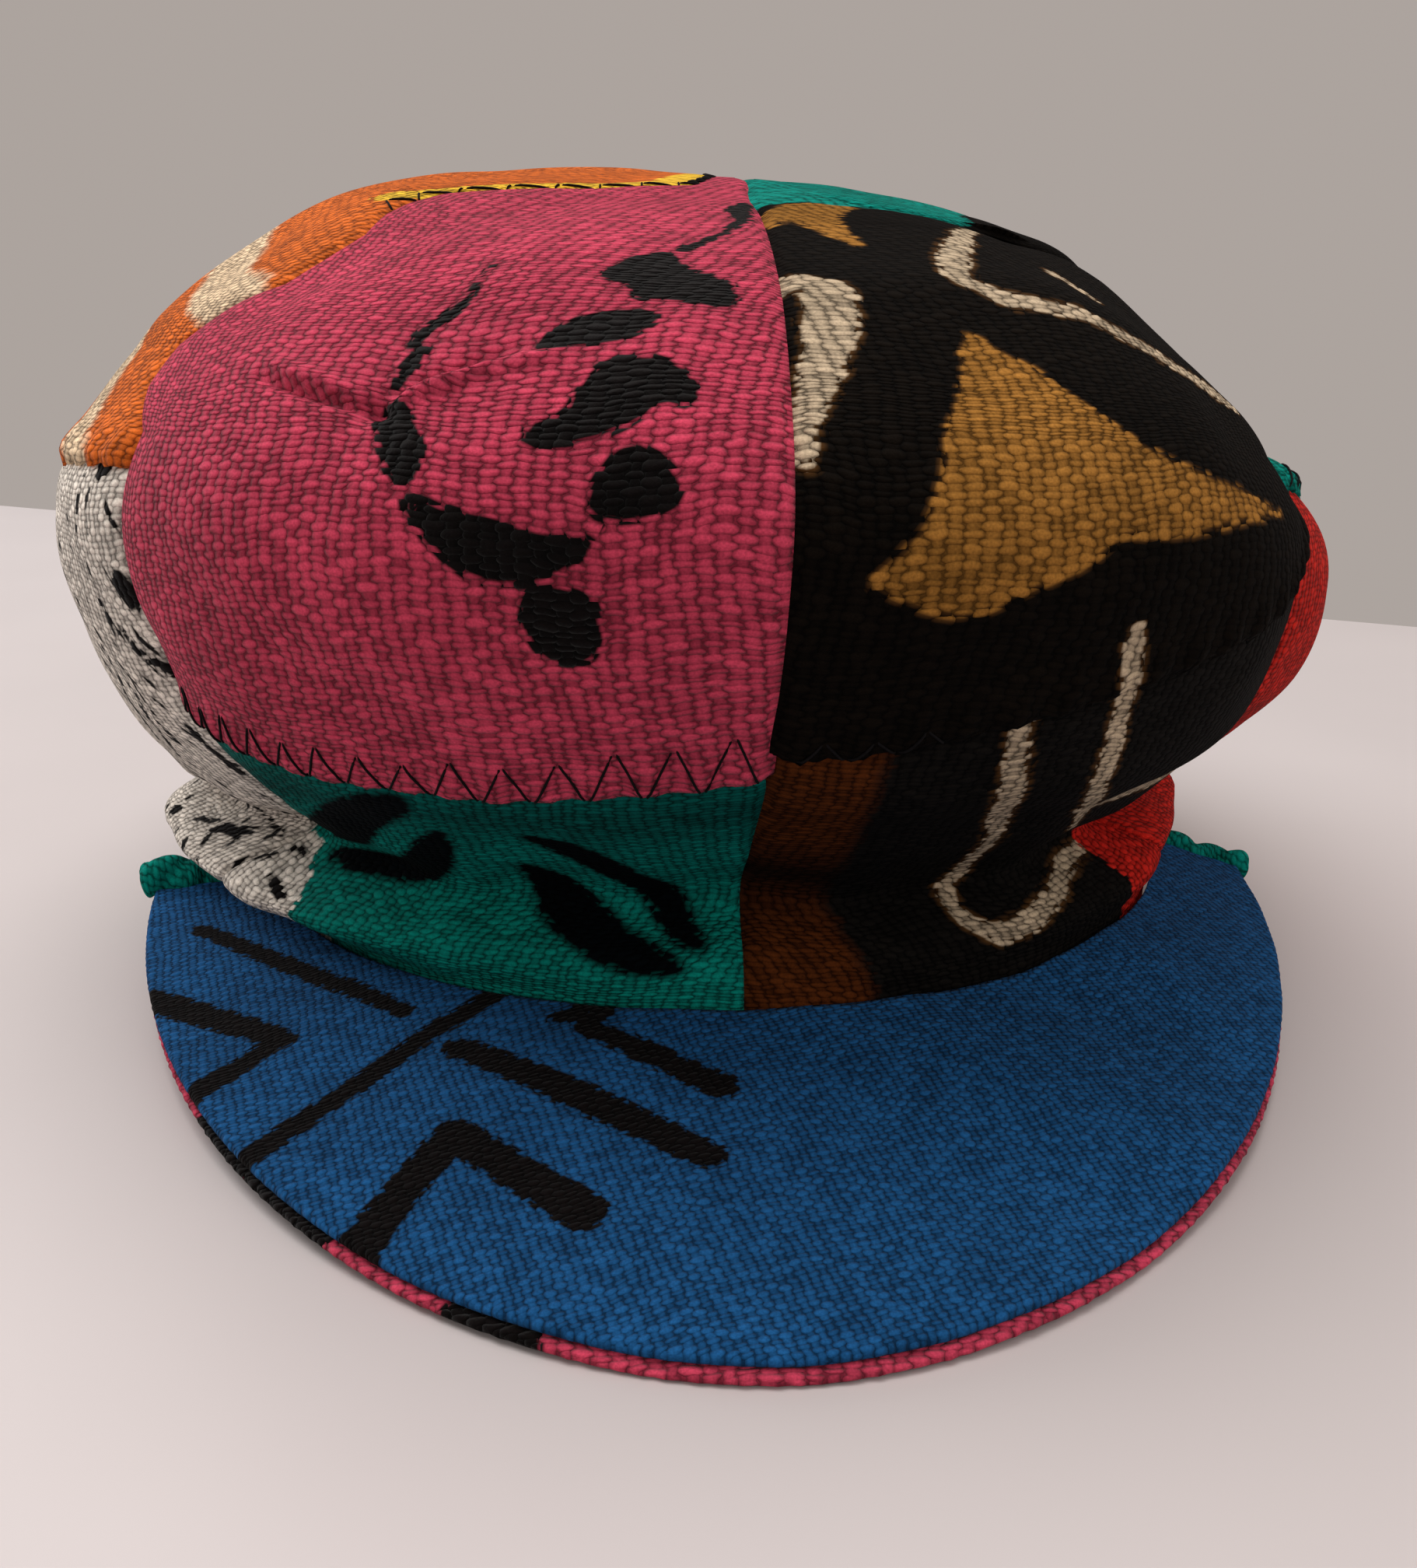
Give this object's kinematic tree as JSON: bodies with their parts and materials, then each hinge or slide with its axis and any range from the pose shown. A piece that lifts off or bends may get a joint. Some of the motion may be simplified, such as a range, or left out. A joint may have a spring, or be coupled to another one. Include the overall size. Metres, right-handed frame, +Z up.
{
  "type": "rasta cap",
  "caption": "Soft patchwork cap of coarse printed cloth, with a puffed crown gathered to a hem band and a short curved peak at the front.",
  "frame": {"origin": "on the ground below the middle of the cap's bounding box, as it rests on its hem and peak", "axes": "+Z up, the peak points to -Y, and +X is to the right of someone who faces the peak"},
  "size_m": [0.2484, 0.3119, 0.1545],
  "materials": {
    "pink_cloth": "coarse plain woven cotton, dyed pink, matt",
    "black_cloth": "coarse plain woven cotton, dyed black, matt",
    "green_cloth": "coarse plain woven cotton, dyed green, matt",
    "brown_cloth": "coarse plain woven cotton, dyed brown, matt",
    "orange_cloth": "coarse plain woven cotton, dyed orange, matt",
    "cream_cloth": "coarse plain woven cotton, dyed cream, matt",
    "red_cloth": "coarse plain woven cotton, dyed red, matt",
    "ochre_cloth": "coarse plain woven cotton, dyed ochre, matt",
    "blue_cloth": "coarse plain woven cotton, dyed blue, matt"
  },
  "bodies": {
    "root": {"back_left_upper": "ochre_cloth", "back_left_lower": "green_cloth", "rear_left_upper": "red_cloth", "rear_left_lower": "cream_cloth", "side_left_upper": "orange_cloth", "side_left_lower": "cream_cloth", "front_left_upper": "pink_cloth", "front_left_lower": "green_cloth", "front_right_upper": "black_cloth", "front_right_lower": "brown_cloth", "side_right_upper": "green_cloth", "side_right_lower": "red_cloth", "rear_right_upper": "blue_cloth", "rear_right_lower": "ochre_cloth", "back_right_upper": "cream_cloth", "back_right_lower": "black_cloth", "peak_top": "blue_cloth", "peak_under": "pink_cloth", "peak_binding_left": "green_cloth", "peak_binding_right": "green_cloth"}
  },
  "joints": []
}
